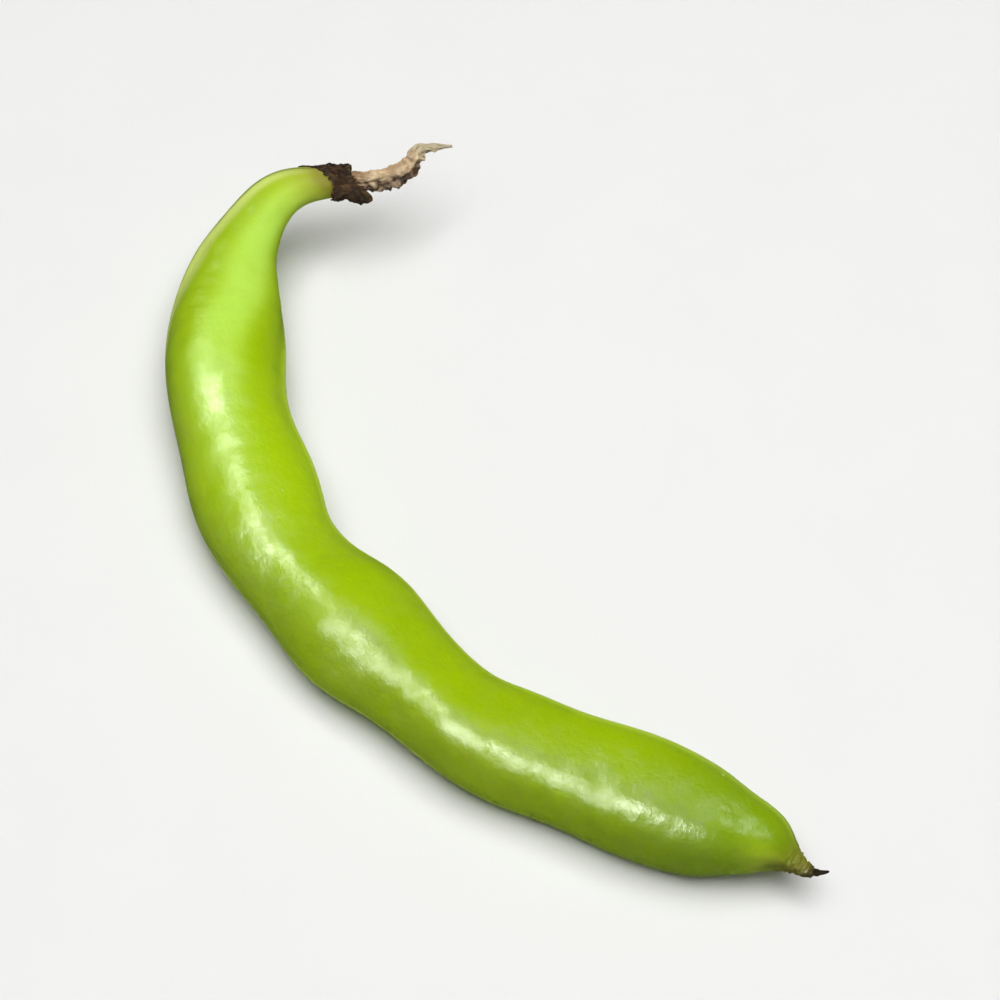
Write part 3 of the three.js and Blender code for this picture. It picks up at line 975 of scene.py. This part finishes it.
def make_stalk(settings):
    """The stalk: a shrivelled ridged tube along a line that bends up to a wisp, with a torn keel on
    its lower side. Seeded fibres and knots and the folds at its bend stand on the ridges, and the
    creases' colour, dry brown with painted shade in the hollows, lies where they are deep."""
    line = stalk_line()
    along = STALK_LENGTH * shares(STALK_RINGS)
    place = along[:, None]
    angle = turns(STALK_SIDES)[None, :]
    round_here = soft_steps(STALK_RADIUS, STALK_WIDENINGS, place)
    kept = np.clip((place - KEEL_FROM) / (KEEL_TO - KEEL_FROM), 0, 1)
    torn = 1 - KEEL_TEARS[2] + waves([KEEL_TEARS], place, angle)
    torn = torn + KEEL_RAGS_SHARE * unevenness(KEEL_RAGS, place, angle)
    keel = lobes([KEEL_LOBE], angle) * np.sin(np.pi * kept) * torn
    fibres = unevenness(STALK_FIBRES, place, angle)
    knots = unevenness(STALK_KNOTS, place, angle) * (KNOTS_EVERYWHERE + lobes([KNOTTY_SIDE], angle))
    folds = np.sin(2 * np.pi * place / FOLD_LENGTH + FOLD_SLANT * np.sin(angle))
    folds = folds * swellings([BEND_FOLDS], place)
    shrivelled = FIBRES_SHARE * fibres + KNOTS_SHARE * knots + folds
    relief = settings.fibres / MM * round_here / STALK_RADIUS * shrivelled
    radius = round_here * (1 + waves(STALK_RIDGES, place, angle)) + keel + relief
    points = line.around(place, angle, np.maximum(radius, STALK_LEAST))
    # The dark lower side: partly torn fibres, partly painted shade
    blotches = TORN_SHADED_LEVEL + TORN_SHADED_CONTRAST * unevenness(TORN_SHADED_BLOTCHES, place, angle)
    under = lobes([TORN_SHADED_SIDE], angle) * soft_steps(*TORN_SHADED_UNTIL, place) * blotches
    masks = {
        "crease": np.clip(CREASE_LEVEL - CREASE_DEPTH * shrivelled + soft_steps(*NEAR_CALYX, place), 0, 1),
        "under": np.clip(under - TORN_SHADED_LEAST, 0, 1),
        "wisp": soft_steps(*WISP, place),
    }
    first, last = line.at(np.array([0.0, STALK_LENGTH]))
    return closed_skin("stalk_fibres", points, first, last, along, masks)


def stalk_material(settings):
    """Dry stalk: tan with bleached ridges, soft brown stains, brown creases with painted shade in
    them, a dark lower side that is partly torn fibres and partly painted shade, a greyish thin end
    and fine fibres."""
    material, tree, shader = new_material("stalk_fibres", {"IOR": 1.4, "Specular IOR Level": 0.3})
    body, own = places(tree)
    straw, where = mottled(tree, body, settings.tan, settings.pale, scale=330.0, fine_share=0.4)
    strands = fine_lines(tree, own, along=220.0, around=6.0, uneven=0.7)
    colour = blend(tree, mask(tree, "wisp"), straw, settings.wisp)
    thin = maths(tree, "MULTIPLY", between(tree, strands, 0.5, 0.0), 0.22)
    blots = between(tree, noise(tree, body, 520.0, 4.0, 0.6, 0.4), 0.36, 0.56)
    stains = maths(tree, "MULTIPLY", maths(tree, "SUBTRACT", blots, mask(tree, "wisp")), 0.5)
    # Painted shade in the deep creases, joined by thin lines and stains
    creases = maths(tree, "MAXIMUM", between(tree, mask(tree, "crease"), 0.38, 0.9), thin)
    creases = maths(tree, "MAXIMUM", creases, stains)
    colour = blend(tree, maths(tree, "MULTIPLY", creases, 0.75), colour, settings.crease)
    # Dark lower side: partly torn fibres, partly painted shade
    under = maths(tree, "MULTIPLY", mask(tree, "under"), maths(tree, "MULTIPLY_ADD", blots, 0.5, 0.65))
    normal = bump(tree, strands, distance=0.0002, strength=0.6)
    normal = bump(tree, noise(tree, body, 2200.0, 4.0), distance=0.00008, strength=0.6, normal=normal)
    feed(tree, shader, {
        "Base Color": blend(tree, maths(tree, "MINIMUM", under, 1.0), colour, settings.under),
        "Normal": normal,
        "Roughness": between(tree, where, 0.0, 1.0, 0.72, 0.88),
    })
    return material


def make_style():
    """The style: a creased cone that follows the end of the hull's line."""
    share = shares(STYLE_RINGS)[:, None]
    angle = turns(STYLE_SIDES)[None, :]
    place = STYLE_ROOT + (STYLE_TO - STYLE_ROOT) * share
    radius = STYLE_TIP + (STYLE_RADIUS - STYLE_TIP) * (1 - share) ** STYLE_TAPER
    creases = STYLE_CREASES_SHARE * unevenness(STYLE_CREASES, share, angle)
    radius = radius * (1 + waves(STYLE_WAVES, share, angle) + creases)
    points = HULL_LINE.around(place, angle, radius)
    first, last = HULL_LINE.at(np.array([STYLE_ROOT, STYLE_TO]))
    along = place[:, 0] - STYLE_ROOT
    return closed_skin("style_point", points, first, last, along, {"base": 1 - share})


def style_material(settings):
    """Dried point: black, browner at its base, with creases along it."""
    material, tree, shader = new_material("style_point", {"IOR": 1.4, "Specular IOR Level": 0.14})
    body, own = places(tree)
    _, dry = mottled(tree, body, settings.black, settings.brown, scale=700.0, fine_share=0.3)
    near_hull = between(tree, mask(tree, "base"), 0.7, 1.0)
    factor = maths(tree, "MULTIPLY", dry, maths(tree, "ADD", 0.15, near_hull))
    creases = fine_lines(tree, own, along=300.0, around=6.0, uneven=0.4)
    feed(tree, shader, {
        "Base Color": blend(tree, factor, settings.black, settings.brown),
        "Normal": bump(tree, creases, distance=0.0002, strength=0.7),
        "Roughness": between(tree, dry, 0.0, 1.0, 0.45, 0.7),
    })
    return material


# The stage


def soft_light(name, place, size, power):
    """A soft light, wide and high as its size says, that faces the origin from its place."""
    light = bpy.data.lights.new(name, "AREA")
    light.shape = "RECTANGLE"
    light.size, light.size_y = size
    light.energy = power
    holder = bpy.data.objects.new(name, light)
    holder.location = place
    holder.visible_camera = False
    pitch = np.arctan2(np.hypot(place[0], place[1]), place[2])
    holder.rotation_euler = Euler((pitch, 0, np.arctan2(place[0], -place[1])))
    bpy.context.scene.collection.objects.link(holder)
    return holder


def make_floor(settings):
    """A plain pale surface under the pod, with a slight grain."""
    corners = [(-1, -1), (1, -1), (1, 1), (-1, 1)]
    mesh = bpy.data.meshes.new("floor")
    mesh.from_pydata([(FLOOR_HALF * x, FLOOR_HALF * y, -FLOOR_DROP) for x, y in corners], [], [(0, 1, 2, 3)])
    material, tree, shader = new_material("floor_white", {"Roughness": 0.9, "Specular IOR Level": 0.1})
    grain = between(tree, noise(tree, places(tree)[0], 40.0, 2.0), 0.3, 0.7)
    shade = np.array(settings.floor)
    feed(tree, shader, {"Base Color": blend(tree, grain, shade, 0.99 * shade)})
    mesh.materials.append(material)
    floor = bpy.data.objects.new("floor", mesh)
    bpy.context.scene.collection.objects.link(floor)
    floor.visible_glossy = False


def make_camera(settings):
    """The camera at the photograph's angle and distance, looking at the formulas' own origin."""
    around, up = np.radians([VIEW_AROUND, VIEW_UP])
    ahead = np.array([-np.sin(around) * np.cos(up), np.cos(around) * np.cos(up), -np.sin(up)])
    lens = bpy.data.cameras.new("camera")
    lens.lens = settings.lens
    lens.sensor_width = 36.0
    camera = bpy.data.objects.new("camera", lens)
    camera.location = SHIFT - ahead * VIEW_DISTANCE * MM
    camera.rotation_euler = Euler((np.pi / 2 - up, 0, around))
    bpy.context.scene.collection.objects.link(camera)
    bpy.context.scene.camera = camera


def make_room(settings):
    """Even light from all round, one large soft light for the colours, and panels that only shine
    on the skin, with colours shown as they are."""
    world = bpy.data.worlds.new("room")
    world.use_nodes = True
    background = world.node_tree.nodes["Background"]
    background.inputs["Color"].default_value = (1, 1, 1, 1)
    background.inputs["Strength"].default_value = settings.room
    bpy.context.scene.world = world
    bpy.context.scene.view_settings.view_transform = "Standard"
    soft_light(*OVERHEAD, settings.key).visible_glossy = False
    for setting, panel in PANELS.items():
        soft_light(*panel, getattr(settings, setting)).visible_diffuse = False


# Operators


class MakePod(bpy.types.Operator):
    """Makes the green hull with its seams, wrinkles and beak"""

    bl_idname = "bean_pod.make_pod"
    bl_label = "Make pod"

    def execute(self, context):
        settings = context.scene.bean_pod
        add_piece("pod_skin", make_pod(settings), pod_material(settings), "pod")
        return {"FINISHED"}


class MakeCalyx(bpy.types.Operator):
    """Makes the withered calyx round the neck"""

    bl_idname = "bean_pod.make_calyx"
    bl_label = "Make calyx"

    def execute(self, context):
        settings = context.scene.bean_calyx
        add_piece("calyx_leaf", make_calyx(settings), calyx_material(settings), "calyx")
        return {"FINISHED"}


class MakeStalk(bpy.types.Operator):
    """Makes the dry, shrivelled stalk"""

    bl_idname = "bean_pod.make_stalk"
    bl_label = "Make stalk"

    def execute(self, context):
        settings = context.scene.bean_stalk
        add_piece("stalk_fibres", make_stalk(settings), stalk_material(settings), "stalk")
        return {"FINISHED"}


class MakeStyle(bpy.types.Operator):
    """Makes the dry point on the beak"""

    bl_idname = "bean_pod.make_style"
    bl_label = "Make style"

    def execute(self, context):
        settings = context.scene.bean_style
        add_piece("style_point", make_style(), style_material(settings), "style")
        return {"FINISHED"}


class MakeStage(bpy.types.Operator):
    """Makes the floor, the lights and the camera"""

    bl_idname = "bean_pod.make_stage"
    bl_label = "Make stage"

    def execute(self, context):
        settings = context.scene.bean_stage
        make_camera(settings)
        make_floor(settings)
        make_room(settings)
        return {"FINISHED"}


class BeanPodPanel(bpy.types.Panel):
    """The pod's settings and what makes its pieces"""

    bl_idname = "VIEW3D_PT_bean_pod"
    bl_label = "Bean pod"
    bl_space_type = "VIEW_3D"
    bl_region_type = "UI"
    bl_category = "Bean pod"

    def draw(self, context):
        for operator, holder, group in PIECES:
            box = self.layout.box()
            for name in group.__annotations__:
                box.prop(getattr(context.scene, holder), name)
            box.operator(operator.bl_idname)


PIECES = [
    (MakeStage, "bean_stage", StageSettings),
    (MakePod, "bean_pod", PodSettings),
    (MakeCalyx, "bean_calyx", CalyxSettings),
    (MakeStalk, "bean_stalk", StalkSettings),
    (MakeStyle, "bean_style", StyleSettings),
]


def register():
    """Registers the classes and hangs the settings on the scene."""
    for operator, holder, group in PIECES:
        bpy.utils.register_class(group)
        setattr(bpy.types.Scene, holder, PointerProperty(type=group))
        bpy.utils.register_class(operator)
    bpy.utils.register_class(BeanPodPanel)


def unregister():
    """Takes back what register did."""
    bpy.utils.unregister_class(BeanPodPanel)
    for operator, holder, group in reversed(PIECES):
        bpy.utils.unregister_class(operator)
        delattr(bpy.types.Scene, holder)
        bpy.utils.unregister_class(group)


def main():
    """Makes the stage and the pieces."""
    register()
    bpy.ops.bean_pod.make_stage()
    bpy.ops.bean_pod.make_pod()
    bpy.ops.bean_pod.make_calyx()
    bpy.ops.bean_pod.make_stalk()
    bpy.ops.bean_pod.make_style()


if __name__ == "__main__":
    main()
